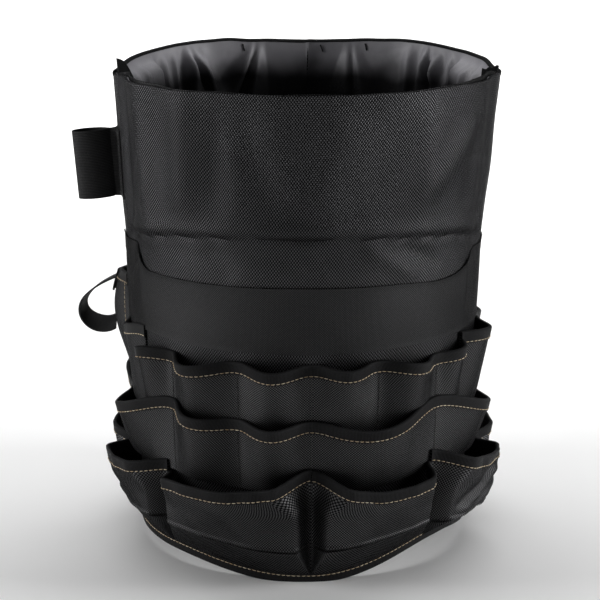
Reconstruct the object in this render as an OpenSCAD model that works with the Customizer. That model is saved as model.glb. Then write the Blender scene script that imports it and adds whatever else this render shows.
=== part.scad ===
// Fabric tool organizer that slips over a bucket: a tapered tube of coated cloth, open at both ends,
// with three rows of sewn pockets outside, a wide webbing loop and a small strap loop on its left side.
// Millimetres, +Z up, standing on the bottom hem. The front faces -Y and +X is the right-hand side.

/* [Body] */
// Height of the rim above the floor
height = 386; // [376:1:396]
// Outer radius of the cloth at the rim
rim_r = 157; // [154:1:160]
// Outer radius at the waist, the narrowest place above the pockets
waist_r = 146; // [144:1:148]
// Height of the waist
waist_z = 245; // [242:1:250]
// Outer radius at the bottom hem
foot_r = 134; // [132:1:136]
// Thickness of the outer cloth
panel_t = 2; // [1.6:0.1:2.4]
// Thickness of the coated lining
lining_t = 1.2; // [0.8:0.1:1.6]

/* [Pockets] */
// Thickness of the pocket cloth
cloth_t = 1.6; // [1.4:0.1:1.8]
// Height of the sewn-on edge bindings
tape_h = 9; // [7:0.5:11]
// Thickness of the edge bindings
tape_t = 0.8; // [0.6:0.1:1]
// Top of the upper pocket row
upper_top = 176; // [172:1:180]
// Bottom of the upper pocket row
upper_bottom = 118; // [114:1:122]
// How far the upper pockets stand out
upper_bulge = 17; // [16:0.5:18]
// Top of the middle pocket row
middle_top = 133; // [130:1:136]
// Bottom of the middle pocket row
middle_bottom = 74; // [70:1:78]
// How far the middle pockets stand out
middle_bulge = 19.5; // [18:0.5:21]
// Top of the box pockets
box_top = 94; // [90:1:98]
// Height of the fold that turns the box pockets in to the hem
box_fold = 30; // [27:1:33]
// How far the box pockets stand out at the top
box_bulge = 24; // [22:1:25]
// How far the box pockets stand out at the fold
box_fold_bulge = 19; // [17:1:20]
// Top of the tall pocket on the left side
tall_top = 208; // [204:1:212]
// How far the tall pocket stands out
tall_bulge = 22; // [20:1:23]

/* [Band] */
// Lower edge of the smooth band above the pockets
band_bottom = 189; // [184:1:192]
// Upper edge of the smooth band
band_top = 240; // [235:1:242]

/* [Loops] */
// Width of the wide loop's webbing, which stands upright
loop_w = 56; // [50:1:60]
// How far the wide loop reaches out from its stitches
loop_reach = 31; // [28:1:33]
// Height of the wide loop's lower edge
loop_z = 285; // [280:1:290]
// Width of the small strap
strap_w = 22; // [18:1:24]
// Distance of the small strap's fold from the middle of the body
strap_out = 192; // [188:1:194]
// Thickness of all webbing
web_t = 1.6; // [1.4:0.1:1.8]

/* [Hidden] */
$fn = 96;
// Longer than the whole object, for cutting.
big = 500;

// Angles of the pocket seams, in degrees to the right of straight ahead.
upper_front = [-90, -68, -46, -21, 2.5, 24, 47, 68, 90];
upper_rear = [90, 135, 180, 225];
tall = [245, 270];
middle_front = [-90, -46, -21, 2.5, 47, 90];
middle_rear = [90, 135, 180, 225, 270];
box_seams = [-90, -49, 2.5, 47, 90, 133, 180, 227, 270];

// Half of the sewn-down width between two pockets, in degrees.
seam_half = 1;
// Smallest radius of a pocket's lower end, and how far that end stands out.
tip_r = 6;
tip_reach = 1;
floor_t = 2;
// How far the middle row and the box pockets lie off the body, clear of the rows under them.
middle_lift = 1.8;
box_lift = 3.6;

upper_front_row = [upper_front, upper_bottom, upper_top, upper_bulge, 0];
upper_rear_row = [upper_rear, upper_bottom, upper_top, upper_bulge, 0];
tall_row = [tall, upper_bottom, tall_top, tall_bulge, 0];
middle_front_row = [middle_front, middle_bottom, middle_top, middle_bulge, middle_lift];
middle_rear_row = [middle_rear, middle_bottom, middle_top, middle_bulge, middle_lift];

hem_h = 9;
hem_t = 1;
hem_gap = 0.5;
rim_step = 3;
facing_h = 16;
facing_t = 1.2;
seam_tape_t = 1;
seam_tape_w = 16;
tab_rise = 8;
tab_lean = 4;
tab_gap = 0.3;
swing_gap = 0.5;
patch_t = 1.6;
patch_h = 20;
patch_from = -98;
patch_to = -76;
curve_steps = 20;

wall_t = panel_t + lining_t;
rim_slope = (rim_r - waist_r) / (height - waist_z);

function body_r(z) = z < waist_z
    ? foot_r + (waist_r - foot_r) * z / waist_z
    : waist_r + rim_slope * (z - waist_z);

// The wide loop turns on a line of stitches that lies along the sloping side.
loop_mid_z = loop_z + loop_w / 2;
loop_root_r = 2.2;
loop_open = 13;
loop_pivot_r = body_r(loop_mid_z) + patch_t + swing_gap + loop_root_r;

// The small strap hangs from the middle of the tall pocket and swings on its two sewn ends.
strap_angle = (tall[0] + tall[1]) / 2;
tall_gap = 0.2;
tall_w = 2 * body_r(upper_bottom) * sin((tall[1] - tall[0]) / 2) - 2 * tall_gap;
strap_gap = 4;
// Its ends narrow towards the stitches, so that they clear the patch as it swings.
corner_cut = 8.5;
strap_top_z = tall_top - 8;
strap_bottom_z = tall_top - 42;

// The object is moved sideways so that the middle of its footprint is at x = 0.
right_reach = body_r(height + tab_rise) + tab_lean;
strap_turn = 270 - strap_angle;
left_reach = (strap_out + web_t / 2) * cos(strap_turn) + strap_w / 2 * sin(strap_turn);
shift_x = (left_reach - right_reach) / 2;

cloth = [0.07, 0.07, 0.075];
pocket_cloth = [0.09, 0.09, 0.095];
lining_grey = [0.27, 0.26, 0.29];
tape_black = [0.13, 0.13, 0.13];
webbing = [0.16, 0.16, 0.16];

// ---- shared shapes ----

// Solid of revolution that follows the body, grown outward by extra.
module body_solid(z0, z1, extra = 0) {
    waist = z0 < waist_z && z1 > waist_z ? [[waist_r + extra, waist_z]] : [];
    rotate_extrude()
        polygon(concat([[0, z0], [body_r(z0) + extra, z0]], waist, [[body_r(z1) + extra, z1], [0, z1]]));
}

// Ring of cloth on the body, from inner to outer, both measured outward from the body's surface.
module ring(z0, z1, inner, outer) {
    difference() {
        body_solid(z0, z1, outer);
        body_solid(z0 - 1, z1 + 1, inner);
    }
}

module front_half() {
    intersection() {
        children();
        translate([-big / 2, -big, -1]) cube(big);
    }
}

module rear_half() {
    intersection() {
        children();
        translate([-big / 2, 0, -1]) cube(big);
    }
}

// The part of something that lies between two angles, less than 90 degrees apart.
module sector(a0, a1) {
    intersection() {
        children();
        rotate([0, 0, a0 - 90])
            linear_extrude(big)
                polygon([[0, 0], [big, 0], [big * cos(a1 - a0), big * sin(a1 - a0)]]);
    }
}

// Everything is moved sideways together.
module place() {
    translate([shift_x, 0, 0]) children();
}

// Something drawn looking along +X, turned to face an angle round the body.
module at_angle(a) {
    rotate([0, 0, a - 90]) children();
}

// Distance of a pocket's own axis from the body's axis, so that its round wall, which stands out by
// bulge from a surface of radius r, meets that surface at the given half angle.
function axis_r(r, bulge, half) = (pow(r + bulge, 2) - r * r) / (2 * (r + bulge - r * cos(half)));

// Upright cone about an axis between two seam angles. reach0 and reach1 are how far its outermost
// points at z0 and z1 are from the body's axis.
module pocket_cone(a0, a1, axis, z0, z1, reach0, reach1) {
    at_angle((a0 + a1) / 2)
        translate([axis, 0, z0])
            cylinder(h = z1 - z0, r1 = reach0 - axis, r2 = reach1 - axis);
}

// A row is [seams, bottom, top, bulge, lift], where lift is how far its cloth lies off the body.
function row_axis(row, i) =
    let (r = body_r(row[2]) + row[4] + cloth_t)
    axis_r(r, row[3] - cloth_t - row[4], (row[0][i + 1] - row[0][i]) / 2 - seam_half);

// How far a pocket reaches out at height z.
function row_reach(row, i, z) =
    let (low = max(body_r(row[1]) + row[4] + cloth_t + tip_reach, row_axis(row, i) + tip_r))
    let (high = body_r(row[2]) + row[3])
    low + (high - low) * (z - row[1]) / (row[2] - row[1]);

// One pocket of a row between two heights, grown outward by grow.
module scoop(row, i, z0, z1, grow) {
    pocket_cone(row[0][i], row[0][i + 1], row_axis(row, i), z0, z1,
                row_reach(row, i, z0) + grow, row_reach(row, i, z1) + grow);
}

// Everything inside the outer face of a row between two heights.
module row_solid(row, z0, z1, grow = 0) {
    for (i = [0:len(row[0]) - 2])
        scoop(row, i, z0, z1, grow);
    body_solid(z0, z1, row[4] + cloth_t + grow);
}

// The part of something between two heights.
module slab(z0, z1) {
    intersection() {
        children();
        translate([-big / 2, -big / 2, z0]) cube([big, big, z1 - z0]);
    }
}

// The cloth of a row of scooped pockets, in one strip.
module row_cloth(row) {
    slab(row[1], row[2])
        difference() {
            row_solid(row, row[1] - 1, row[2] + 1);
            for (i = [0:len(row[0]) - 2])
                scoop(row, i, row[1] + floor_t, row[2] + 2, -cloth_t);
            body_solid(row[1] - 2, row[2] + 2, row[4]);
        }
}

// The binding along the top edge of a row, outside the cloth.
module row_binding(row) {
    slab(row[2] - tape_h, row[2])
        difference() {
            row_solid(row, row[2] - tape_h - 1, row[2] + 1, tape_t);
            row_solid(row, row[2] - tape_h - 2, row[2] + 2);
        }
}

// ---- body of the organizer ----

module main_panel() {
    ring(hem_t, height - rim_step, -panel_t, 0);
}

module front_panel() {
    color(cloth) front_half() main_panel();
}

module rear_panel() {
    color(cloth) rear_half() main_panel();
}

module lining() {
    ring(hem_t, height - rim_step, -wall_t, -panel_t);
}

module front_lining() {
    color(lining_grey) front_half() lining();
}

module rear_lining() {
    color(lining_grey) rear_half() lining();
}

// The turned-in facing stands a little above the front edge of the outer cloth.
module front_rim_facing() {
    color(tape_black)
        front_half() ring(height - facing_h, height, -wall_t - facing_t, -wall_t);
}

module rear_rim_piping() {
    color(tape_black)
        rear_half() ring(height - rim_step, height, -wall_t, 0);
}

// Binding of the seam that joins front and rear. It runs up inside the body, and its end stands
// above the rim and leans out over it.
module seam_binding() {
    inner = -wall_t - facing_t;
    intersection() {
        union() {
            ring(hem_h + hem_gap, height + tab_rise, inner - seam_tape_t, inner);
            ring(height + tab_gap, height + tab_rise, inner - seam_tape_t, tab_lean);
        }
        translate([0, -seam_tape_w / 2, 0]) cube([big, seam_tape_w, big]);
    }
}

module right_seam_binding() {
    color(tape_black) seam_binding();
}

module left_seam_binding() {
    color(tape_black) mirror([1, 0, 0]) seam_binding();
}

module band() {
    ring(band_bottom, band_top, 0, tape_t);
}

module front_band() {
    color(tape_black) front_half() band();
}

module rear_band() {
    color(tape_black) rear_half() band();
}

// Binding folded round the bottom edge, which the organizer stands on.
module hem() {
    difference() {
        ring(0, hem_h, -wall_t - hem_t, hem_t);
        ring(hem_t, hem_h + 1, -wall_t, 0);
    }
}

module front_hem_binding() {
    color(tape_black) front_half() hem();
}

module rear_hem_binding() {
    color(tape_black) rear_half() hem();
}

// ---- upper row and tall pocket ----

module front_upper_pockets() {
    color(pocket_cloth)
        front_half() row_cloth(upper_front_row);
}

module front_upper_binding() {
    color(tape_black)
        front_half() row_binding(upper_front_row);
}

// The rear strip ends before the tall pocket.
module rear_upper_part() {
    difference() {
        rear_half() children();
        at_angle(upper_rear[3])
            translate([0, 0, -1]) cube(big);
    }
}

module rear_upper_pockets() {
    color(pocket_cloth)
        rear_upper_part() row_cloth(upper_rear_row);
}

module rear_upper_binding() {
    color(tape_black)
        rear_upper_part() row_binding(upper_rear_row);
}

// The tall pocket is a strip of its own, just as wide as its seams.
module tall_part() {
    intersection() {
        children();
        at_angle(strap_angle)
            translate([waist_r / 2, -tall_w / 2, 0])
                cube([waist_r, tall_w, big]);
    }
}

// The tall pocket's upper end lies over the band.
module tall_side_pocket() {
    color(pocket_cloth)
        difference() {
            tall_part() row_cloth(tall_row);
            body_solid(band_bottom - tall_gap, tall_top + 1, tape_t);
        }
}

module tall_side_binding() {
    color(tape_black) tall_part() row_binding(tall_row);
}

// ---- middle row ----

module front_middle_pockets() {
    color(pocket_cloth) front_half() row_cloth(middle_front_row);
}

module front_middle_binding() {
    color(tape_black) front_half() row_binding(middle_front_row);
}

module rear_middle_pockets() {
    color(pocket_cloth) rear_half() row_cloth(middle_rear_row);
}

module rear_middle_binding() {
    color(tape_black) rear_half() row_binding(middle_rear_row);
}

// ---- box pockets ----

function box_axis(k) =
    let (r = body_r(box_top) + box_lift)
    axis_r(r, box_bulge - box_lift, (box_seams[k + 1] - box_seams[k]) / 2 - seam_half / 2);

// How far the box pockets reach out at the top, at the fold and just above the hem.
box_top_reach = body_r(box_top) + box_bulge;
box_fold_reach = body_r(box_fold) + box_fold_bulge;
box_hem_z = hem_h + hem_gap;
box_hem_reach = body_r(hem_h) + 2 * cloth_t;
function mix(a, b, t) = a + (b - a) * t;
function box_reach(z) = z > box_fold
    ? mix(box_fold_reach, box_top_reach, (z - box_fold) / (box_top - box_fold))
    : mix(box_hem_reach, box_fold_reach, (z - box_hem_z) / (box_fold - box_hem_z));

module box_cone(k, z0, z1, grow) {
    pocket_cone(box_seams[k], box_seams[k + 1], box_axis(k), z0, z1,
                box_reach(z0) + grow, box_reach(z1) + grow);
}

// The space behind a box pocket, which the body and the rows above it fill.
module behind_box() {
    body_solid(-1, middle_bottom - 1, 0);
    body_solid(middle_bottom - 2, box_top + 2, box_lift);
}

// A box pocket is upright down to its fold and then slopes in to the hem.
module box_cloth(k) {
    color(pocket_cloth)
        difference() {
            union() {
                box_cone(k, box_fold, box_top, 0);
                box_cone(k, box_hem_z, box_fold, 0);
            }
            box_cone(k, box_fold, box_top + 1, -cloth_t);
            box_cone(k, box_hem_z + floor_t, box_fold, -cloth_t);
            behind_box();
        }
}

module box_binding(k) {
    color(tape_black)
        difference() {
            box_cone(k, box_top - tape_h, box_top, tape_t);
            box_cone(k, box_top - tape_h - 1, box_top + 1, 0);
            body_solid(box_top - tape_h - 2, box_top + 2, box_lift);
        }
}

module box_pocket_left_front() { box_cloth(0); }
module box_pocket_front_left() { box_cloth(1); }
module box_pocket_front_right() { box_cloth(2); }
module box_pocket_right_front() { box_cloth(3); }
module box_pocket_right_rear() { box_cloth(4); }
module box_pocket_rear_right() { box_cloth(5); }
module box_pocket_rear_left() { box_cloth(6); }
module box_pocket_left_rear() { box_cloth(7); }
module box_binding_left_front() { box_binding(0); }
module box_binding_front_left() { box_binding(1); }
module box_binding_front_right() { box_binding(2); }
module box_binding_right_front() { box_binding(3); }
module box_binding_right_rear() { box_binding(4); }
module box_binding_rear_right() { box_binding(5); }
module box_binding_rear_left() { box_binding(6); }
module box_binding_left_rear() { box_binding(7); }

// ---- webbing loops ----

function bezier(p, t) =
    pow(1 - t, 3) * p[0] + 3 * pow(1 - t, 2) * t * p[1] + 3 * (1 - t) * t * t * p[2] + pow(t, 3) * p[3];

function curve(p) = [for (i = [0:curve_steps]) bezier(p, i / curve_steps)];

// Points of a path moved sideways by d.
function offset_path(path, d) = [
    for (i = [0:len(path) - 1])
        let (before = path[max(i - 1, 0)], after = path[min(i + 1, len(path) - 1)])
        let (along = (after - before) / norm(after - before))
        path[i] + d * [-along[1], along[0]]
];

// Flat outline of webbing that follows a path.
module ribbon_outline(path, thickness) {
    one = offset_path(path, thickness / 2);
    other = offset_path(path, -thickness / 2);
    count = len(path);
    polygon(concat(one, [for (i = [1:count]) other[count - i]]));
}

// One side of the wide loop, seen from above: it leaves the stitches sideways, opens to loop_open
// and comes square to the fold.
module loop_half() {
    ribbon_outline(curve([[0, web_t / 2], [loop_reach * 0.3, loop_open], [loop_reach, loop_open * 0.77],
                          [loop_reach, 0]]), web_t);
}

module on_left_side() {
    translate([-loop_pivot_r, 0, loop_mid_z])
        rotate([0, -atan(rim_slope), 0])
            mirror([1, 0, 0])
                children();
}

module tool_loop() {
    color(webbing)
        on_left_side()
            translate([0, 0, -loop_w / 2]) {
                linear_extrude(loop_w) {
                    loop_half();
                    mirror([0, 1]) loop_half();
                }
                cylinder(h = loop_w, r = loop_root_r);
            }
}

module tool_loop_patch() {
    color(webbing)
        sector(patch_from, patch_to) ring(loop_z, loop_z + loop_w, 0, patch_t);
}

// Small patch that holds the strap's upper end on the tall pocket's binding.
module strap_patch() {
    low = tall_top - patch_h;
    color(webbing)
        intersection() {
            difference() {
                scoop(tall_row, 0, low, tall_top, tape_t + patch_t);
                scoop(tall_row, 0, low - 1, tall_top + 1, tape_t);
            }
            at_angle(strap_angle)
                translate([waist_r, -strap_w / 2, low - 1])
                    cube([strap_out - waist_r, strap_w, patch_h + 2]);
        }
}

// The hanging part of the strap, in the upright plane through the body's axis: it leaves the patch
// outward and down, runs level with the fold, turns back under it and rises to its lower end.
module strap_loop() {
    top = [row_reach(tall_row, 0, strap_top_z) + tape_t + patch_t + strap_gap, strap_top_z];
    bottom = [row_reach(tall_row, 0, strap_bottom_z) + strap_gap, strap_bottom_z];
    fold = [strap_out, strap_bottom_z + strap_w / 2];
    upper = curve([top, top + [9, -7], [strap_out, fold[1] + 12], fold]);
    lower = curve([fold, [strap_out, fold[1] - 14], bottom + [12, -8], bottom]);
    color(webbing)
        at_angle(strap_angle)
            difference() {
                rotate([90, 0, 0])
                    translate([0, 0, -strap_w / 2])
                        linear_extrude(strap_w) {
                            ribbon_outline(upper, web_t);
                            ribbon_outline(lower, web_t);
                        }
                for (end = [top, bottom])
                    for (side = [-1, 1])
                        translate([end[0], side * strap_w / 2, end[1] - 12])
                            rotate([0, 0, 45])
                                cube([corner_cut, corner_cut, 2 * strap_w], center = true);
            }
}

place() front_panel();
place() rear_panel();
place() front_lining();
place() rear_lining();
place() front_rim_facing();
place() rear_rim_piping();
place() left_seam_binding();
place() right_seam_binding();
place() front_band();
place() rear_band();
place() front_upper_pockets();
place() front_upper_binding();
place() rear_upper_pockets();
place() rear_upper_binding();
place() tall_side_pocket();
place() tall_side_binding();
place() front_middle_pockets();
place() front_middle_binding();
place() rear_middle_pockets();
place() rear_middle_binding();
place() box_pocket_left_front();
place() box_pocket_front_left();
place() box_pocket_front_right();
place() box_pocket_right_front();
place() box_pocket_right_rear();
place() box_pocket_rear_right();
place() box_pocket_rear_left();
place() box_pocket_left_rear();
place() box_binding_left_front();
place() box_binding_front_left();
place() box_binding_front_right();
place() box_binding_right_front();
place() box_binding_right_rear();
place() box_binding_rear_right();
place() box_binding_rear_left();
place() box_binding_left_rear();
place() front_hem_binding();
place() rear_hem_binding();
place() tool_loop_patch();
place() tool_loop();
place() strap_patch();
place() strap_loop();
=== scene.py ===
# The looks of a cloth tool organizer for a bucket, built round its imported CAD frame.
import bpy
import math
import numpy as np
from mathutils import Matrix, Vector

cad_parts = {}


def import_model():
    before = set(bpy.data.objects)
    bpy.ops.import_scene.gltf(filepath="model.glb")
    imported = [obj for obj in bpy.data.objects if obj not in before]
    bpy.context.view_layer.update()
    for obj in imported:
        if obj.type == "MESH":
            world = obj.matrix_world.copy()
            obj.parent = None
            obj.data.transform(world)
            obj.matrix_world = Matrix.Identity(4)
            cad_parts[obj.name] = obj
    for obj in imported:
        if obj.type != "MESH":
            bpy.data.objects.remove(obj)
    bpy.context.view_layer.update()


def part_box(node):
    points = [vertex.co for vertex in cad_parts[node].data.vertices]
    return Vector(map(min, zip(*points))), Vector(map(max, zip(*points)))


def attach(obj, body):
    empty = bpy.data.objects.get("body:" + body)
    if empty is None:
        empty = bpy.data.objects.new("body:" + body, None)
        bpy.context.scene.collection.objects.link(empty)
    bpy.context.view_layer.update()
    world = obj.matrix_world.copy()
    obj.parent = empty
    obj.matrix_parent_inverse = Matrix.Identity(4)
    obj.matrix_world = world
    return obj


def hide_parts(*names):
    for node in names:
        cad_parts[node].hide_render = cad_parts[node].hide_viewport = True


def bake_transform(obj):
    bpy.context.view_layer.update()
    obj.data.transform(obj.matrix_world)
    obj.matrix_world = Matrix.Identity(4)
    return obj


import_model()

BODY = "organizer"
scene = bpy.context.scene

# ---------------------------------------------------------------- the body's own shape
# Angles are in degrees to the right of straight ahead, round the upright axis at (AXIS_X, 0).
panel_low, panel_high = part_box("front_panel")
AXIS_X = (panel_low.x + panel_high.x) / 2
CAD_RIM_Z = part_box("front_rim_facing")[1].z
RIM_Z = CAD_RIM_Z + 0.004
FOOT_R, WAIST_R, WAIST_Z, RIM_R = 0.134, 0.146, 0.245, 0.157
PANEL_T, LINING_T, CLOTH_T, TAPE_T = 0.0020, 0.0012, 0.0016, 0.0008
TAPE_H = 0.009
WEBBING_T, PATCH_T = 0.0015, 0.0010
STITCH_LIFT = 0.0003
ARC = 0.15 * math.radians(1)  # metres over the cloth for each degree
BOX_R = 0.145
UP = np.array([0.0, 0.0, 1.0])
BAND_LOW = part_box("front_band")[0].z
BAND_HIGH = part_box("front_band")[1].z


def step(x, a, b):
    """A smooth rise from 0 at a to 1 at b."""
    t = np.clip((x - a) / (b - a), 0, 1)
    return t * t * (3 - 2 * t)


def bell(x, centre, width):
    return np.exp(-(((x - centre) / width) ** 2))


def turn(theta, centre=0.0):
    """Angle from centre, from -180 to 180."""
    return (np.asarray(theta, float) - centre + 180) % 360 - 180


def noise(u, v, seed):
    """Smooth noise from -1 to 1, about one bump for each unit of u and v."""
    table = np.random.default_rng(seed).uniform(-1, 1, (64, 64))
    u, v = np.broadcast_arrays(np.asarray(u, float), np.asarray(v, float))
    i, j = np.floor(u).astype(int), np.floor(v).astype(int)
    a, b = u - i, v - j
    a, b = a * a * (3 - 2 * a), b * b * (3 - 2 * b)
    low = table[i % 64, j % 64] * (1 - a) + table[(i + 1) % 64, j % 64] * a
    high = table[i % 64, (j + 1) % 64] * (1 - a) + table[(i + 1) % 64, (j + 1) % 64] * a
    return low * (1 - b) + high * b


def cone_r(z):
    """Radius of the plain tapered tube."""
    z = np.asarray(z, float)
    low = FOOT_R + (WAIST_R - FOOT_R) * z / WAIST_Z
    high = WAIST_R + (RIM_R - WAIST_R) * (z - WAIST_Z) / (CAD_RIM_Z - WAIST_Z)
    return np.where(z < WAIST_Z, low, high)


def ridge(theta, z, start, end, width, height):
    """A soft fold between two (angle, height) points on the wall."""
    ax, ay, bx, by = start[0] * ARC, start[1], end[0] * ARC, end[1]
    px, py = turn(theta) * ARC, z
    dx, dy = bx - ax, by - ay
    t = ((px - ax) * dx + (py - ay) * dy) / (dx * dx + dy * dy)
    fade = step(t, -0.15, 0.2) * (1 - step(t, 0.8, 1.15))
    c = np.clip(t, 0, 1)
    d = np.hypot(px - ax - c * dx, py - ay - c * dy)
    return height * fade * bell(d, 0, width)


def hem_z(theta):
    """How far the bottom edge is lifted: it stands on the floor in front and at two places behind."""
    a = turn(theta)
    left = 0.011 * step(-a, 2, 48) * (1 - step(-a, 100, 142))
    right = 0.020 * step(a, 3, 52) * (1 - 0.45 * step(a, 56, 86)) * (1 - step(a, 98, 140))
    return left + right + 0.004 * bell(turn(theta, 180), 0, 20)


def rim_z(theta):
    """Height of the top edge: it dips beside the seams and rises at two places behind."""
    a = turn(theta)
    corner = bell(np.abs(a), 90, 13)
    shoulder = bell(np.abs(a), 147, 17)
    wobble = 0.0009 * noise(a / 21 + 9, 0.5, 3) + 0.0005 * noise(a / 7 + 4, 0.5, 5)
    return RIM_Z + 0.0034 * shoulder - 0.0045 * corner + wobble


# soft folds of the outer cloth: (angle, height) at both ends, width, height
FRONT_FOLDS = [
    ((-57, 0.40), (-52, 0.262), 0.016, 0.0039),
    ((-72, 0.41), (-71, 0.24), 0.014, -0.0046),
    ((-37, 0.395), (-39, 0.29), 0.013, 0.0042),
    ((-25, 0.385), (-27, 0.30), 0.011, -0.0020),
    ((-20, 0.38), (-8, 0.30), 0.014, -0.0024),
    ((58, 0.36), (32, 0.295), 0.011, 0.003),
    ((36, 0.38), (37, 0.31), 0.016, 0.003),
    ((72, 0.41), (70, 0.25), 0.014, -0.0034),
    ((62, 0.36), (56, 0.29), 0.011, -0.0018),
    ((12, 0.375), (2, 0.30), 0.018, 0.0018),
    ((18, 0.272), (36, 0.246), 0.006, 0.0021),
    ((30, 0.272), (46, 0.25), 0.006, -0.0021),
    ((-30, 0.272), (-22, 0.246), 0.008, -0.0018),
    ((-2, 0.272), (8, 0.246), 0.008, 0.0015),
]
REAR_FOLDS = [
    ((128, 0.38), (134, 0.27), 0.016, 0.0033),
    ((158, 0.37), (150, 0.28), 0.018, -0.0027),
    ((178, 0.385), (172, 0.30), 0.020, 0.0027),
    ((-152, 0.38), (-160, 0.29), 0.016, 0.003),
    ((-126, 0.37), (-120, 0.27), 0.014, -0.0027),
    ((-112, 0.38), (-108, 0.30), 0.012, 0.0024),
    ((112, 0.36), (106, 0.29), 0.012, -0.0021),
]


def crease_z(theta):
    """Height of the crease that runs across the front, above the band."""
    return 0.2795 - 0.0000034 * turn(theta, 0) ** 2


def foot_tuck(theta, z):
    """How far the foot is drawn in at the right of the front, where its bottom edge is lifted."""
    return 0.004 * bell(turn(theta), 50, 22) * (1 - step(z, 0.0, 0.06))


def wall(theta, z):
    """Radius of the outer cloth's outer face, with its soft folds."""
    theta, z = np.broadcast_arrays(np.asarray(theta, float), np.asarray(z, float))
    a = turn(theta)
    r = cone_r(z)
    high = step(z, 0.20, 0.30)
    seam = np.abs(np.abs(a) - 90)
    r = r + 0.0022 * high * (bell(seam, 0, 4) - bell(seam, 0, 20))
    for start, end, width, height in FRONT_FOLDS + REAR_FOLDS:
        r = r + ridge(theta, z, start, end, width, height)
    soft = noise(a * ARC / 0.045, z / 0.06, 11) + 0.5 * noise(a * ARC / 0.02, z / 0.035, 12)
    r = r + 0.0009 * soft * high
    front = 1 - step(np.abs(a), 70, 84)
    line = z - crease_z(a) - 0.0012 * noise(a / 9, 0.3, 14)  # height above the crease
    fullness = 0.0022 * bell(line, 0.007, 0.006)
    dent = 0.0026 * bell(line, 0, 0.0022) + 0.0016 * bell(line, -0.010, 0.010)
    r = r + front * (fullness - dent)
    return r - foot_tuck(a, z)


def lean(z):
    """The cloth above the waist leans a little to the right."""
    return 0.003 * np.clip((np.asarray(z, float) - WAIST_Z) / (CAD_RIM_Z - WAIST_Z), 0, 1.2)


def polar(theta, r, z):
    theta, r, z = np.broadcast_arrays(np.asarray(theta, float), np.asarray(r, float), np.asarray(z, float))
    a = np.radians(theta)
    return np.stack([AXIS_X + lean(z) + r * np.sin(a), -r * np.cos(a), z], axis=-1)


# ---------------------------------------------------------------- meshes

def unit(v):
    return v / np.maximum(np.linalg.norm(v, axis=-1, keepdims=True), 1e-12)


def outward(theta):
    """The direction straight out from the axis."""
    return unit(polar(theta, 1.0, 0.0) - polar(theta, 0.0, 0.0))


def grid_normals(p):
    return unit(np.cross(np.gradient(p, axis=0), np.gradient(p, axis=1)))


def lengths(p, axis, start):
    """Distances over the cloth along every line of a grid, from its line number start."""
    steps = np.linalg.norm(np.diff(p, axis=axis), axis=-1)
    total = np.concatenate([np.zeros_like(np.take(steps, [0], axis)), np.cumsum(steps, axis)], axis)
    return total - np.take(total, [start], axis)


def make_object(name, verts, faces, material, uv=None, sharp=45):
    mesh = bpy.data.meshes.new(name)
    mesh.from_pydata(verts.tolist(), [], faces)
    if uv is not None:
        layer = mesh.uv_layers.new(name="threads")
        index = np.zeros(len(mesh.loops), int)
        mesh.loops.foreach_get("vertex_index", index)
        layer.data.foreach_set("uv", uv[index].astype(np.float32).ravel())
    mesh.polygons.foreach_set("use_smooth", np.full(len(mesh.polygons), True))
    if sharp:
        mesh.set_sharp_from_angle(angle=math.radians(sharp))
    mesh.update()
    obj = bpy.data.objects.new(name, mesh)
    scene.collection.objects.link(obj)
    obj.data.materials.append(material)
    return obj


def finish_piece(obj, nodes=(), body=BODY):
    if body:
        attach(obj, body)
    if nodes:
        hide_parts(*nodes)
    return obj


def grid_faces(n, m, offset=0, flip=False):
    i, j = np.meshgrid(np.arange(n - 1), np.arange(m - 1), indexing="ij")
    a = (i * m + j + offset).ravel()
    quads = np.stack([a, a + m, a + m + 1, a + 1], axis=1)
    return quads[:, ::-1] if flip else quads


def shell(name, outer, thick, material, nodes=(), body=BODY, sharp=45, from_top=False, threads_at=None):
    """A sheet of cloth. outer is its outer face, a grid of points that runs to the right and then up.
    threads_at names one column and one row whose lengths space the threads all over the sheet."""
    n, m, _ = outer.shape
    normal = grid_normals(outer)
    inner = outer - normal * thick
    verts = np.concatenate([outer.reshape(-1, 3), inner.reshape(-1, 3)])
    u, v = lengths(outer, 0, n // 2), lengths(outer, 1, m - 1 if from_top else 0)
    if threads_at:
        u, v = np.broadcast_arrays(u[:, threads_at[1]][:, None], v[threads_at[0]][None, :])
    uv = np.stack([u, v], axis=-1).reshape(-1, 2)
    half = n * m
    rim = np.concatenate([
        np.arange(0, n) * m,
        (n - 1) * m + np.arange(1, m),
        np.arange(n - 2, -1, -1) * m + m - 1,
        np.arange(m - 2, 0, -1),
    ])
    nxt = np.roll(rim, -1)
    edge = np.stack([nxt, rim, rim + half, nxt + half], axis=1)
    faces = np.concatenate([grid_faces(n, m), grid_faces(n, m, half, flip=True), edge])
    obj = make_object(name, verts, faces.tolist(), material, np.concatenate([uv, uv]), sharp)
    return finish_piece(obj, nodes, body)


def sheet(obj):
    """Reads a sheet's thread coordinates, which run as wide and as long as its grid; nothing further is done
    with them.
    """
    layer = obj.data.uv_layers["threads"]
    uv = np.zeros(len(layer.data) * 2, np.float32)
    layer.data.foreach_get("uv", uv)


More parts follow.
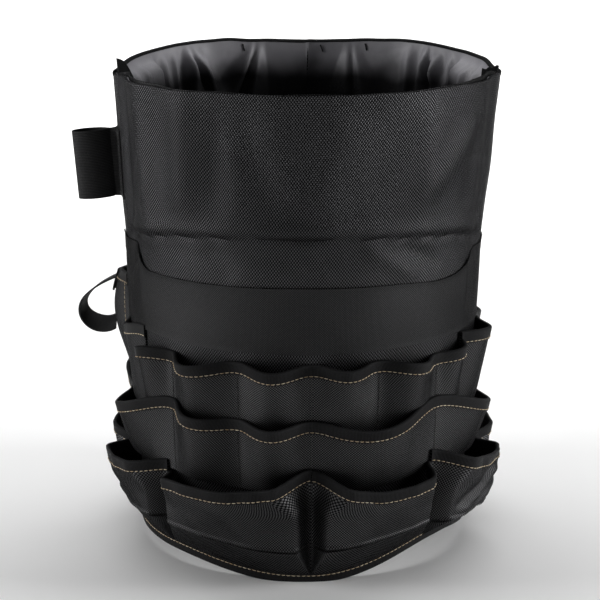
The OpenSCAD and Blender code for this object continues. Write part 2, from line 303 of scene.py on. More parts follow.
def edge_tape(name, edge, normal, up, height, cloth_t, nodes=(), tape_t=TAPE_T, steps=6, inner_height=None):
    """Tape folded over an edge of cloth. edge is the outer face's edge, up points off the cloth."""
    inner_height = height if inner_height is None else inner_height
    out = 0.0001 + tape_t
    radius = cloth_t / 2 + out
    profile = [(out, -height + height * k / steps) for k in range(steps)]
    profile += [(-cloth_t / 2 + radius * math.cos(t), radius * 0.9 * math.sin(t))
                for t in np.linspace(0, math.pi, 7)]
    profile += [(-cloth_t - out, -inner_height * k / steps) for k in range(1, steps + 1)]
    profile = np.array(profile)
    across, along = profile[None, :, 0, None], profile[None, :, 1, None]
    grid = edge[:, None] + normal[:, None] * across + up[:, None] * along
    shell(name, grid, tape_t, MATERIALS["tape"], nodes, sharp=60)


def resample(path, spacing):
    """Distances of evenly spaced places along a path, and of the path's own points."""
    d = np.concatenate([[0], np.cumsum(np.linalg.norm(np.diff(path[:, :3], axis=0), axis=1))])
    count = max(int(round(d[-1] / spacing)), 1)
    s = (np.arange(count) + 0.5) * d[-1] / count
    return s, d


def stitches(name, path, normal, pitch=0.0040, length=0.0032, width=0.0006, seed=1, material=None):
    """A row of thread stitches along a line on the cloth."""
    rng = np.random.default_rng(seed)
    s, d = resample(path, pitch)
    rings, sides = 5, 6
    along = np.linspace(-0.5, 0.5, rings)
    girth = np.array([0.35, 0.9, 1.0, 0.9, 0.35])
    height = np.array([-0.35, 0.12, 0.3, 0.12, -0.35])
    angle = np.arange(sides) * 2 * math.pi / sides
    verts, faces = [], []
    for centre in s:
        long = length * (1 + rng.uniform(-0.07, 0.07))
        skew = rng.uniform(-0.07, 0.07)
        at = centre + along * long
        p = np.stack([np.interp(at, d, path[:, c]) for c in range(3)], axis=1)
        nn = unit(np.stack([np.interp(at, d, normal[:, c]) for c in range(3)], axis=1))
        tangent = unit(np.gradient(p, axis=0))
        side = unit(np.cross(tangent, nn))
        p = p + side * (along * long * skew)[:, None] + nn * (height * width)[:, None]
        ring = (p[:, None] + side[:, None] * (girth[:, None] * np.cos(angle) * width / 2)[..., None]
                + nn[:, None] * (girth[:, None] * np.sin(angle) * width / 2)[..., None])
        base = len(verts) * rings * sides
        verts.append(ring.reshape(-1, 3))
        for r in range(rings - 1):
            for q in range(sides):
                a, b = base + r * sides + q, base + r * sides + (q + 1) % sides
                faces.append((a, b, b + sides, a + sides))
        faces.append(tuple(base + q for q in range(sides - 1, -1, -1)))
        faces.append(tuple(base + (rings - 1) * sides + q for q in range(sides)))
    obj = make_object(name, np.concatenate(verts), faces, material or MATERIALS["thread"], None, 0)
    finish_piece(obj)


# ---------------------------------------------------------------- materials

class Shader:
    """Builds a node material with short calls."""

    def __init__(self, name):
        self.material = bpy.data.materials.new(name)
        self.material.use_nodes = True
        self.tree = self.material.node_tree
        self.shader = self.tree.nodes["Principled BSDF"]

    def node(self, kind, **settings):
        made = self.tree.nodes.new(kind)
        for key, value in settings.items():
            setattr(made, key, value)
        return made

    def put(self, socket, value):
        if isinstance(value, bpy.types.NodeSocket):
            self.tree.links.new(value, socket)
        else:
            socket.default_value = value

    def math(self, operation, a, b=0.0, c=0.0):
        made = self.node("ShaderNodeMath", operation=operation)
        for socket, value in zip(made.inputs, (a, b, c)):
            self.put(socket, value)
        return made.outputs[0]

    def mix(self, factor, a, b):
        made = self.node("ShaderNodeMix", data_type="RGBA")
        self.put(made.inputs["Factor"], factor)
        self.put(made.inputs[6], a)
        self.put(made.inputs[7], b)
        return made.outputs[2]

    def blend(self, factor, a, b):
        made = self.node("ShaderNodeMix", data_type="FLOAT")
        self.put(made.inputs[0], factor)
        self.put(made.inputs[2], a)
        self.put(made.inputs[3], b)
        return made.outputs[0]

    def threads(self):
        """The two thread coordinates, in metres."""
        uv = self.node("ShaderNodeUVMap", uv_map="threads")
        parts = self.node("ShaderNodeSeparateXYZ")
        self.put(parts.inputs[0], uv.outputs[0])
        return parts.outputs[0], parts.outputs[1]

    def noise(self, scale, detail=2.0, source="Object"):
        where = self.node("ShaderNodeTexCoord")
        made = self.node("ShaderNodeTexNoise")
        self.put(made.inputs["Vector"], where.outputs[source])
        self.put(made.inputs["Scale"], scale)
        self.put(made.inputs["Detail"], detail)
        return made.outputs["Fac"]

    def wave(self, x):
        """0 at whole numbers and 1 halfway between."""
        return self.math("ABSOLUTE", self.math("SINE", self.math("MULTIPLY", x, math.pi)))

    def bump(self, height, distance, strength=1.0, normal=None):
        made = self.node("ShaderNodeBump")
        self.put(made.inputs["Height"], height)
        self.put(made.inputs["Distance"], distance)
        self.put(made.inputs["Strength"], strength)
        if normal is not None:
            self.put(made.inputs["Normal"], normal)
        return made.outputs[0]

    def value_range(self, value, low, high):
        """Spreads noise, most of which lies between 0.3 and 0.7, from low to high."""
        made = self.node("ShaderNodeMapRange")
        self.put(made.inputs["Value"], value)
        made.inputs["From Min"].default_value = 0.3
        made.inputs["From Max"].default_value = 0.7
        made.inputs["To Min"].default_value = low
        made.inputs["To Max"].default_value = high
        return made.outputs[0]

    def set(self, specular=0.25, **values):
        self.put(self.shader.inputs["Specular IOR Level"], specular)
        for key, value in values.items():
            self.put(self.shader.inputs[key.replace("_", " ")], value)
        return self.material


def woven(name, cell, warp, weft, gap, roughness, depth, lustre=0.88, blotch=(0.8, 1.2)):
    """Plain woven cloth. cell is the width and height of one crossing, in metres."""
    s = Shader(name)
    u, v = s.threads()
    drift = s.noise(9.0)
    x = s.math("DIVIDE", u, cell[0])
    y = s.math("DIVIDE", v, cell[1])
    odd = s.math("MODULO", s.math("ADD", s.math("FLOOR", x), s.math("FLOOR", y)), 2.0)
    odd = s.math("GREATER_THAN", s.math("ABSOLUTE", odd), 0.5)
    across, along = s.wave(x), s.wave(y)
    up = s.math("MULTIPLY", s.math("POWER", across, 0.6), s.math("MULTIPLY_ADD", along, 0.6, 0.4))
    flat = s.math("MULTIPLY", s.math("POWER", along, 0.6), s.math("MULTIPLY_ADD", across, 0.6, 0.4))
    height = s.blend(odd, up, flat)
    fibres = s.noise(2600.0, 1.0)
    tone = s.mix(odd, warp, weft)
    tone = s.mix(s.math("POWER", s.math("SUBTRACT", 1.0, height), 2.0), tone, gap)
    shade = s.math("MULTIPLY", s.value_range(drift, *blotch), s.value_range(fibres, 0.75, 1.25))
    scaled = s.node("ShaderNodeVectorMath", operation="SCALE")
    s.put(scaled.inputs[0], tone)
    s.put(scaled.inputs["Scale"], shade)
    rough = s.math("ADD", s.value_range(s.noise(30.0), roughness - 0.05, roughness + 0.05),
                   s.math("MULTIPLY", s.math("SUBTRACT", 1.0, height), 0.25))
    return s.set(Base_Color=scaled.outputs[0], Roughness=rough, Normal=s.bump(height, depth), Metallic=lustre,
                 specular=0.04, Specular_Tint=(0.05, 0.05, 0.05, 1))


def ribbed(name, pitch, colour, gap, roughness, depth, along=True, fleck=0.2):
    """Ribbed tape or webbing: ribs across its length, with fine threads between."""
    s = Shader(name)
    u, v = s.threads()
    first, second = (u, v) if along else (v, u)
    rib = s.wave(s.math("DIVIDE", first, pitch))
    fine = s.wave(s.math("DIVIDE", second, pitch * 0.7))
    height = s.math("MULTIPLY", s.math("POWER", rib, 0.7), s.math("MULTIPLY_ADD", fine, fleck, 1 - fleck))
    tone = s.mix(height, gap, colour)
    scaled = s.node("ShaderNodeVectorMath", operation="SCALE")
    s.put(scaled.inputs[0], tone)
    s.put(scaled.inputs["Scale"], s.math("MULTIPLY", s.value_range(s.noise(12.0), 0.8, 1.2),
                                         s.value_range(s.noise(1800.0, 1.0), 0.8, 1.2)))
    rough = s.value_range(s.noise(40.0), roughness - 0.06, roughness + 0.06)
    return s.set(Base_Color=scaled.outputs[0], Roughness=rough, Normal=s.bump(height, depth), Metallic=0.3,
                 specular=0.06, Specular_Tint=(0.05, 0.05, 0.05, 1))


def coated(name):
    """The grey coated lining: a smooth film over fine cloth, a little crushed, and darkened below the rim by
    painted shade.
    """
    s = Shader(name)
    u, v = s.threads()
    weave = s.math("MULTIPLY", s.wave(s.math("DIVIDE", u, 0.0007)), s.wave(s.math("DIVIDE", v, 0.0007)))
    crush = s.noise(60.0, 4.0)
    wide = s.noise(14.0, 3.0)
    tone = s.mix(s.value_range(wide, 0.0, 1.0), (0.30, 0.295, 0.32, 1), (0.46, 0.45, 0.485, 1))
    tone = s.mix(s.math("MULTIPLY", weave, 0.25), tone, (0.03, 0.03, 0.034, 1))
    # painted shade: from 4 mm to 35 mm below the top edge the lining turns near black, standing in for the
    # shadow deep inside the organizer
    low = s.node("ShaderNodeMapRange", interpolation_type="SMOOTHSTEP")
    s.put(low.inputs["Value"], s.math("ADD", v, s.value_range(s.noise(26.0), -0.004, 0.004)))
    low.inputs["From Min"].default_value = -0.004
    low.inputs["From Max"].default_value = -0.035
    tone = s.mix(low.outputs[0], tone, (0.012, 0.012, 0.013, 1))
    normal = s.bump(crush, 0.0012, 0.6)
    normal = s.bump(weave, 0.0001, 0.5, normal)
    rough = s.value_range(s.noise(45.0, 3.0), 0.32, 0.46)
    # painted shade: the specular fades with the same darkening below the rim
    shine_dimmed_in_painted_shade = s.math("MULTIPLY_ADD", low.outputs[0], -0.43, 0.45)
    return s.set(Base_Color=tone, Roughness=rough, Normal=normal, specular=shine_dimmed_in_painted_shade)


def thread_material(name, dark, light):
    s = Shader(name)
    tone = s.mix(s.value_range(s.noise(260.0, 1.0), 0.0, 1.0), dark, light)
    twist = s.noise(1500.0, 2.0)
    rough = s.value_range(twist, 0.55, 0.75)
    return s.set(Base_Color=tone, Roughness=rough, Normal=s.bump(twist, 0.0002), Sheen_Weight=0.2)


WEAVE_GAP = (0.002, 0.002, 0.002, 1)
MATERIALS = {
    "ballistic": woven("ballistic cloth", (0.00113, 0.00150), (0.098, 0.098, 0.102, 1),
                       (0.009, 0.009, 0.0095, 1), WEAVE_GAP, 0.34, 0.00026),
    "pocket": woven("pocket cloth", (0.00113, 0.00105), (0.112, 0.112, 0.115, 1), (0.009, 0.009, 0.0095, 1),
                    WEAVE_GAP, 0.37, 0.00020),
    "band": woven("band cloth", (0.00095, 0.00092), (0.062, 0.062, 0.063, 1), (0.024, 0.024, 0.025, 1),
                  WEAVE_GAP, 0.39, 0.00018),
    "lining": coated("coated lining"),
    "tape": ribbed("binding tape", 0.0011, (0.030, 0.030, 0.031, 1), (0.004, 0.004, 0.004, 1), 0.48, 0.00032),
    "webbing": ribbed("webbing", 0.0013, (0.040, 0.040, 0.041, 1), (0.008, 0.008, 0.008, 1), 0.52, 0.00032,
                      along=False),
    "thread": thread_material("tan thread", (0.52, 0.36, 0.19, 1), (0.88, 0.76, 0.56, 1)),
    "dark_thread": thread_material("dark thread", (0.006, 0.006, 0.006, 1), (0.02, 0.02, 0.02, 1)),
}

# ---------------------------------------------------------------- panels and lining


def half_angles(rear, count=181):
    return np.linspace(90, 270, count) if rear else np.linspace(-90, 90, count)


def panel(name, node, rear):
    """Half of the outer cloth, from the lifted hem to the rim."""
    t = half_angles(rear)[:, None]
    low, high = hem_z(t) + 0.0012, rim_z(t)
    z = low + (high - low) * np.linspace(0, 1, 110)[None, :]
    return shell(name, polar(t, wall(t, z), z), PANEL_T, MATERIALS["ballistic"], [node])


# pleats of the lining. Beside a seam: degrees behind it, width, depth. Behind: angle, slant, depth.
# In front: angle, depth.
SEAM_PLEATS = [
    (9, 1.5, 0.0040),
    (15, 1.7, 0.0050),
    (21.5, 1.6, 0.0045),
    (36.5, 1.7, 0.0055),
    (42, 1.5, 0.0045),
    (47.5, 1.7, 0.0055),
    (54, 2.0, 0.0045),
]
REAR_PLEATS = [(221, 6, 0.017), (197, -7, 0.015), (136, 6, 0.017), (165, 3, 0.007)]
FRONT_PLEATS = [(-60, 0.006), (-28, 0.008), (8, 0.006), (40, 0.008), (68, 0.005)]


def lining_depth(theta, z):
    """How far the lining stands in from the outer cloth: loose pleats that grow below the rim."""
    a = turn(theta)
    down = rim_z(theta) - np.where(np.abs(a) < 90, 0.025, 0.006) - z
    down = np.clip(down, -0.008 * (np.abs(a) >= 90), None)
    grow = step(down, 0.0, 0.045)
    deep = (1 - step(down, 0.18, 0.34)) * step(rim_z(theta) - z, 0.0, 0.006)
    d = 0.0
    for side in (-1, 1):
        phi = side * turn(theta, 90 * side)
        phi = np.where(np.abs(a) >= 90, np.abs(phi), -1.0)
        flap = 0.013 * step(phi, 2, 29) * (1 - step(phi, 30, 32)) * step(down, -0.004, 0.010)
        pleats = sum(depth * bell(phi, behind, width) for behind, width, depth in SEAM_PLEATS)
        d = d + flap + pleats * step(down, -0.006, 0.012)
    for centre, slant, depth in REAR_PLEATS:
        off = turn(theta, centre) + slant * down / 0.05
        # a pleat that widens downwards, with a sharp crease down its middle
        below = np.clip(down, 0, None)
        width = 2.0 + 110 * below
        notch = np.clip(1 - np.abs(off) / (1.6 * width), 0, 1) ** 1.1
        crease = 1 - 0.85 * bell(off, 0, 0.9 + 30 * below)
        d = d + depth * step(down, -0.008, 0.018) * notch * crease
    for centre, depth in FRONT_PLEATS:
        off = turn(theta, centre) + 5 * noise(z / 0.05, centre, 31)
        d = d + depth * grow * bell(off, 0, 3.5)
    d = d + 0.0016 * (1 + noise(a * ARC / 0.02 + 7, z / 0.05, 33)) * grow
    return d * deep


def lining(name, node, rear):
    """The loose grey lining behind one panel."""
    t = half_angles(rear, 341)[:, None]
    low, high = hem_z(t) + 0.0012, rim_z(t) - 0.0006
    z = low + (high - low) * np.linspace(0, 1, 120)[None, :]
    r = wall(t, z) - PANEL_T - LINING_T - lining_depth(t, z)
    grid = polar(t, r, z)[::-1]
    return shell(name, grid, LINING_T * 0.8, MATERIALS["lining"], [node], sharp=60,
                 from_top=True)


pieces = {}
pieces["front_panel"] = panel("front_outer_cloth", "front_panel", False)
pieces["rear_panel"] = panel("rear_outer_cloth", "rear_panel", True)
pieces["front_lining"] = lining("front_lining_cloth", "front_lining", False)
pieces["rear_lining"] = lining("rear_lining_cloth", "rear_lining", True)


def rim_facing():
    """The turned-in facing inside the front edge, a little higher than the outer cloth."""
    t = half_angles(False)[:, None]
    rise = 0.0004 + 0.0034 * bell(np.abs(turn(t)), 68, 15) + 0.0005 * noise(t / 12, 0.2, 41)
    v = np.linspace(0, 1, 14)[None, :]
    depth, thick = 0.016, 0.0010
    z = rim_z(t) - depth + (depth + rise) * v
    r = wall(t, np.minimum(z, rim_z(t))) - PANEL_T - LINING_T - 0.0016 - 0.0010 * (1 - v)
    r = r + 0.0004 * noise(t / 10, v, 42)
    grid = polar(t, r, z)[::-1]
    return shell("front_rim_facing_cloth", grid, thick, MATERIALS["band"],
                 ["front_rim_facing"])


def rim_piping():
    """Thin piping along the rear rim."""
    t = half_angles(True)
    edge = polar(t, wall(t, rim_z(t) - 0.003) + 0.0002, rim_z(t) + 0.0002)
    normal = outward(t)
    up = np.broadcast_to(UP, edge.shape)
    edge_tape("rear_rim_piping_tape", edge, normal, up, 0.0030, PANEL_T + LINING_T,
              nodes=["rear_rim_piping"], tape_t=0.0004, steps=3, inner_height=0.0006)


def lining_tack(number, angle, slant):
    """A short bar of thread that holds the lining just below the rear rim."""
    v = np.linspace(0, 1, 12)
    z = float(rim_z(angle)) - 0.0025 - 0.0060 * v
    t = angle + slant * (v - 0.5)
    r = wall(t, z) - PANEL_T - LINING_T - lining_depth(t, z) - STITCH_LIFT
    stitches(f"lining_tack_{number}", polar(t, r, z), -outward(t), pitch=0.0006, length=0.0016,
             width=0.0012, seed=299 + number, material=MATERIALS["dark_thread"])


lining_tack(1, 201, -0.6)
lining_tack(2, 175, -0.8)
lining_tack(3, 160, -0.6)
pieces["front_rim_facing"] = rim_facing()
rim_piping()


def band(name, node, rear):
    """Smoother cloth round the body. Its top edge curves down from the side seams, in front and behind."""
    t = half_angles(rear)[:, None]
    a = turn(t)
    if rear:
        high = BAND_HIGH + 0.012 * step(np.abs(a), 90, 91) * (1 - step(np.abs(a), 96, 118))
    else:
        high = (BAND_HIGH + 0.0005 + 0.015 * step(-a, 56, 68) + 0.011 * step(a, 54, 74)
                - 0.003 * bell(a, 47, 12) + 0.0015 * bell(a, 0, 30))
    low = BAND_LOW + 0.0006 * noise(a / 15, 0.7, 51)
    z = low + (high - low) * np.linspace(0, 1, 30)[None, :]
    edge = bell(z, high, 0.0018) + bell(z, low, 0.0018)
    side = np.abs(a)
    fold = 0.0008 * (bell(side, 62, 3) - bell(side, 70, 4)) * step(z, BAND_LOW, 0.22)
    thick = 0.0008
    r = wall(t, z) + thick + 0.0001 + 0.0005 * edge + fold
    return shell(name, polar(t, r, z), thick, MATERIALS["band"], [node])


pieces["front_band"] = band("front_band_cloth", "front_band", False)
pieces["rear_band"] = band("rear_band_cloth", "rear_band", True)

# ---------------------------------------------------------------- rows of pockets

def arch(s, power=0.85):
    """0 with no slope at both ends and 1 in the middle."""
    return (0.5 - 0.5 * np.cos(2 * math.pi * np.clip(s, 0, 1))) ** power


class Row:
    """A strip of pockets. Each pocket is (left seam, right seam, bulge, height of the top edge in its
    middle, skew); tops are the top edge's heights at the seams."""

    def __init__(self, pockets, tops, bottom, lift, foot_bulge, power=0.85, belly=0.0):
        self.pockets, self.tops, self.bottom, self.lift = pockets, tops, bottom, lift
        self.foot_bulge, self.power, self.belly = foot_bulge, power, belly

    def shape(self, theta):
        theta = np.asarray(theta, float)
        bulge, top = np.zeros_like(theta), np.zeros_like(theta)
        for k, (a0, a1, out, mid, skew) in enumerate(self.pockets):
            inside = (theta >= a0) & (theta <= a1)
            s = np.clip((theta - a0 - 0.8) / (a1 - a0 - 1.6), 0, 1) ** skew
            shape = arch(s, self.power)
            seam = self.tops[k] + (self.tops[k + 1] - self.tops[k]) * step(s, 0, 1)
            bulge = np.where(inside, out * shape, bulge)
            top = np.where(inside, seam + (mid - (self.tops[k] + self.tops[k + 1]) / 2) * shape, top)
        return bulge, top

    def surface(self, theta, v):
        """Points of the outer face; v runs from 0 at the bottom to 1 at the top edge."""
        bulge, top = self.shape(theta)
        z = self.bottom + (top - self.bottom) * v
        z = z + hem_z(theta) * np.clip(1 - z / 0.12, 0, 1)
        share = self.foot_bulge + (1 - self.foot_bulge) * v ** 0.75
        share = share + self.belly * np.sin(math.pi * v ** 1.3)
        soft = noise(theta * ARC / 0.014, z / 0.03, 61) * 0.0011 * np.sqrt(np.clip(bulge / 0.012, 0, 1))
        r = cone_r(z) + self.lift + CLOTH_T + bulge * share + soft * (1 - 0.6 * v)
        return polar(theta, r, z)


def bind(name, grid, nodes, seed):
    """Binding over the top edge of a pocket's outer face, with its row of stitches."""
    edge, normal = grid[:, -1], grid_normals(grid)[:, -1]
    up = unit(grid[:, -1] - grid[:, -4])
    up = unit(up - normal * (up * normal).sum(1, keepdims=True))
    edge_tape(name + "_tape", edge, normal, up, TAPE_H, CLOTH_T, nodes=nodes)
    line = edge + normal * (TAPE_T + 0.0002) - up * (TAPE_H - 0.0016)
    stitches(name + "_stitching", line, normal, seed=seed)


def row_pieces(name, row, node, tape_node, a0, a1, seed, per_degree=1.5):
    """A strip of pockets with its binding, and dark stitches down the seams between its pockets."""
    count = int((a1 - a0) * per_degree) + 1
    t = np.linspace(a0, a1, count)
    v = np.linspace(0, 1, 26)
    grid = row.surface(t[:, None], v[None, :])
    cloth = shell(name, grid, CLOTH_T, MATERIALS["pocket"], [node] if node else [])
    bind(name, grid, [tape_node] if tape_node else [], seed)
    for number, (seam, _, _, _, _) in enumerate(row.pockets[1:]):
        column, rise = np.full(30, seam + 0.15), np.linspace(0.04, 0.97, 30)
        normal = outward(column)
        stitches(f"{name}_seam_{number + 1}", row.surface(column, rise) + normal * STITCH_LIFT, normal,
                 pitch=0.0032, length=0.0026, seed=seed * 20 + number, material=MATERIALS["dark_thread"])
    sheet(cloth)


UPPER = Row(
    [(-66, -46, 0.014, 0.179, 1.0), (-46, -21, 0.017, 0.176, 0.85), (-21, 2.5, 0.015, 0.177, 1.0),
     (2.5, 24, 0.014, 0.178, 1.0), (24, 47, 0.015, 0.177, 1.0), (47, 64, 0.011, 0.178, 1.0)],
    [0.172, 0.179, 0.180, 0.180, 0.180, 0.176, 0.180], 0.120, 0.0, 0.12)
LEFT_END = Row([(-90, -61, 0.005, 0.184, 1.0)], [0.180, 0.191], 0.120, 0.0, 0.2)
RIGHT_END = Row([(60, 90, 0.0135, 0.184, 0.72)], [0.186, 0.180], 0.120, 0.0016, 0.12)
REAR_UPPER = Row(
    [(90, 135, 0.017, 0.172, 1.0), (135, 180, 0.017, 0.172, 1.0), (180, 225, 0.017, 0.172, 1.0)],
    [0.180, 0.178, 0.178, 0.178], 0.120, 0.0, 0.12)
TALL = Row([(245, 270, 0.0105, 0.214, 1.0)], [0.212, 0.216], 0.120, 0.0, 0.35, power=0.6, belly=1.0)
MIDDLE = Row(
    [(-90, -46, 0.019, 0.124, 1.0), (-46, -21, 0.016, 0.134, 0.9), (-21, 2.5, 0.017, 0.131, 1.0),
     (2.5, 47, 0.019, 0.130, 0.85), (47, 90, 0.018, 0.1255, 1.0)],
    [0.120, 0.140, 0.1335, 0.1345, 0.1405, 0.120], 0.076, 0.0018, 0.28)
REAR_MIDDLE = Row(
    [(90, 135, 0.018, 0.128, 1.0), (135, 180, 0.018, 0.128, 1.0), (180, 225, 0.018, 0.128, 1.0),
     (225, 270, 0.018, 0.127, 1.0)],
    [0.120, 0.134, 0.134, 0.134, 0.120], 0.076, 0.0018, 0.15)

row_pieces("front_upper_pockets_cloth", UPPER, "front_upper_pockets", "front_upper_binding", -66, 64, seed=1)
row_pieces("left_end_pocket_cloth", LEFT_END, None, None, -90, -61, seed=2)
row_pieces("right_end_pocket_cloth", RIGHT_END, None, None, 60, 90, seed=3)
row_pieces("rear_upper_pockets_cloth", REAR_UPPER, "rear_upper_pockets", "rear_upper_binding",
           90, 225, seed=4)
row_pieces("tall_pocket_cloth", TALL, "tall_side_pocket", "tall_side_binding", 245, 270, seed=5, per_degree=2)
row_pieces("front_middle_pockets_cloth", MIDDLE, "front_middle_pockets", "front_middle_binding",
           -90, 90, seed=6)
row_pieces("rear_middle_pockets_cloth", REAR_MIDDLE, "rear_middle_pockets", "rear_middle_binding",
           90, 270, seed=7)


def tall_pocket_edge():
    """Tan stitches up the tall pocket, beside the side seam."""
    column, rise = np.full(40, 267.0), np.linspace(0.30, 0.97, 40)
    normal = outward(column)
    stitches("tall_pocket_edge_stitching", TALL.surface(column, rise) + normal * STITCH_LIFT, normal, seed=8)


tall_pocket_edge()

# ---------------------------------------------------------------- box pockets

BOX_LIFT = 0.0036
# name, left seam, right seam, how smoothly the top edge meets the left and right seam, heights along the top
BOXES = [
    ("left_front", -90, -49, 0.9, 0.9, (0.070, 0.073, 0.0765, 0.080, 0.084)),
    ("front_left", -49, 2.5, 0.2, 1.0, (0.073, 0.078, 0.080, 0.086, 0.0945)),
    ("front_right", 2.5, 45, 1.0, 0.2, (0.0945, 0.085, 0.079, 0.080, 0.085)),
    ("right_front", 45, 90, 0.9, 0.9, (0.096, 0.084, 0.077, 0.074, 0.071)),
    ("right_rear", 90, 133, 0.9, 0.6, (0.071, 0.075, 0.080, 0.086, 0.094)),
    ("rear_right", 133, 180, 0.6, 1.0, (0.092, 0.083, 0.080, 0.084, 0.095)),
    ("rear_left", 180, 227, 1.0, 0.6, (0.095, 0.084, 0.080, 0.083, 0.092)),
    ("left_rear", 227, 270, 0.6, 0.9, (0.094, 0.086, 0.080, 0.075, 0.070)),
]

# creases of the slack pocket at the right: (angle, height) at both ends, width, height
SLACK_FOLDS = [
    ((80, 0.066), (54, 0.040), 0.006, 0.0045),
    ((72, 0.064), (52, 0.050), 0.005, -0.003),
    ((84, 0.048), (60, 0.024), 0.005, 0.0035),
    ((50, 0.036), (66, 0.016), 0.004, 0.003),
]


def through(s, values, flat=False):
    """A smooth curve through values spaced evenly from s = 0 to 1."""
    values = np.asarray(values, float)
    slope = np.gradient(values)
    if flat:
        slope[0] = slope[-1] = 0
    x = np.clip(s, 0, 1) * (len(values) - 1)
    i = np.minimum(x.astype(int), len(values) - 2)
    t = x - i
    return ((2 * t ** 3 - 3 * t ** 2 + 1) * values[i] + (t ** 3 - 2 * t ** 2 + t) * slope[i]
            + (3 * t ** 2 - 2 * t ** 3) * values[i + 1] + (t ** 3 - t ** 2) * slope[i + 1])


# the side of a pleat, from the seam to the face: shares of the mouth's width and of the way out
ACROSS_MOUTH = (0.0, 0.16, 0.33, 0.50, 0.65, 0.79, 0.93, 1.08, 1.24)
OUT_OF_MOUTH = (0.0, 0.06, 0.20, 0.42, 0.64, 0.82, 0.94, 0.99, 1.0)
FOLD_ROW = 17
FLAT_ROW = FOLD_ROW + 12


def box_levels():
    """Rows of a box pocket, close together at its fold: (share of the way from hem to fold, fold to top)."""
    below = np.concatenate([np.linspace(0, 0.8, 12), np.linspace(0.86, 1, 6)])
    above = np.concatenate([np.linspace(0.012, 0.07, 5), np.linspace(0.10, 1, 30)])
    from_hem = np.concatenate([below, np.ones(len(above))])
    from_fold = np.concatenate([np.zeros(len(below)), above])
    return from_hem[None, :], from_fold[None, :]


def box_grid(name, a0, a1, smooth0, smooth1, heights, seed, columns=110):
    """Outer face of a box pocket, folded in to the seams at its sides and to the hem below its fold."""
    s = np.linspace(0, 1, columns)[:, None]
    below, above = box_levels()
    wide = a1 - a0
    box_arc = BOX_R * math.radians(1)
    top = through(s, heights, flat=True) + 0.0008 * noise(s * 5, 0.8, seed + 300)
    slack = float(name == "right_front")
    fold = 0.0330 - 0.011 * slack + 0.0012 * noise(s * 3, 0.4, seed + 200)
    hem = 0.0062 - 0.002 * slack
    z = np.where(above > 0, fold + (top - fold) * above, hem + (fold - hem) * below)
    top_out, fold_out = 0.0225, 0.0165
    out_above = fold_out + (top_out - fold_out) * above ** 0.8
    out = np.where(above > 0, out_above, 0.0002 + fold_out * below ** 0.85)
    out = out + 0.0018 * bell(z, fold + 0.0008, 0.0014) - 0.0046 * bell(z, fold - 0.0013, 0.0009)
    # folded cross-section: up the slanting side from the seam, round the corner, across the face
    gusset = 0.24
    mouth_width = 0.0118 * below ** 0.9 * (1 + 0.1 * step(above, 0.3, 1.0))
    mouth = mouth_width / box_arc + 0.1

    def corner(x):
        """Across the back of the pleat, out along its side and round on to the face."""
        q = np.clip(x / gusset, 0, 1)
        return through(q, ACROSS_MOUTH), through(q, OUT_OF_MOUTH)

    ang0, rise0 = corner(s)
    ang1, rise1 = corner(1 - s)
    inner = np.clip((s - gusset) / (1 - 2 * gusset), 0, 1)
    edge, side_reach = 0.12, ACROSS_MOUTH[-1]
    across = a0 + edge + side_reach * mouth + (wide - 2 * edge - 2 * side_reach * mouth) * inner
    folded = np.where(s < gusset, a0 + edge + ang0 * mouth,
                      np.where(s > 1 - gusset, a1 - edge - ang1 * mouth, across))
    rise_f = np.where(s < gusset, rise0, np.where(s > 1 - gusset, rise1, 1.0))
    rise_f = rise_f * (1 + 0.20 * arch(inner, 0.6) * step(z, 0.03, 0.055))
    # smooth cross-section, as at the top edge
    ease = 11.0
    plain = a0 + edge + (wide - 2 * edge) * s
    rise_s = step(s * wide, 0, ease) * step((1 - s) * wide, 0, ease)
    rise_s = rise_s * (1 + 0.06 * np.sin(math.pi * s))
    smooth = (smooth0 * (1 - step(s, 0.35, 0.65)) + smooth1 * step(s, 0.35, 0.65)) * step(above, 0.52, 0.94)
    theta = folded + (plain - folded) * smooth
    rise = rise_f + (rise_s - rise_f) * smooth
    lift = BOX_LIFT * step(z, 0.05, 0.074) + 0.0003
    z = z + hem_z(theta) * np.clip(1 - z / 0.10, 0, 1)
    arc = theta * box_arc
    soft = 0.0012 * noise(arc / 0.02, z / 0.022, seed)
    soft = soft + 0.0006 * noise(arc / 0.009 + z / 0.02, z / 0.016, seed + 50)
    folds = sum(ridge(theta, z, *fold_line) for fold_line in SLACK_FOLDS)
    soft = soft * (1 + 0.8 * slack) + folds * slack
    soft = soft * np.clip(rise, 0, 1) * step(below, 0.1, 0.7)
    r = cone_r(z) + lift + CLOTH_T + out * rise + soft - foot_tuck(theta, z)
    return polar(theta, r, z)


def box_pocket(name, a0, a1, smooth0, smooth1, heights, seed):
    grid = box_grid(name, a0, a1, smooth0, smooth1, heights, seed)
    cloth = shell("box_pocket_" + name + "_cloth", grid, CLOTH_T, MATERIALS["pocket"],
                  ["box_pocket_" + name], sharp=60, threads_at=(len(grid) // 2, FLAT_ROW))
    bind("box_pocket_" + name, grid, ["box_binding_" + name], seed)
    fold_line, fold_normal = grid[3:-3, FOLD_ROW], grid_normals(grid)[3:-3, FOLD_ROW]
    stitches("box_pocket_" + name + "_fold_stitching", fold_line + fold_normal * STITCH_LIFT, fold_normal,
             pitch=0.0030, length=0.0025, seed=seed + 500, material=MATERIALS["dark_thread"])
    sheet(cloth)


for number, box in enumerate(BOXES):
    box_pocket(*box, 70 + number)

# ---------------------------------------------------------------- hem


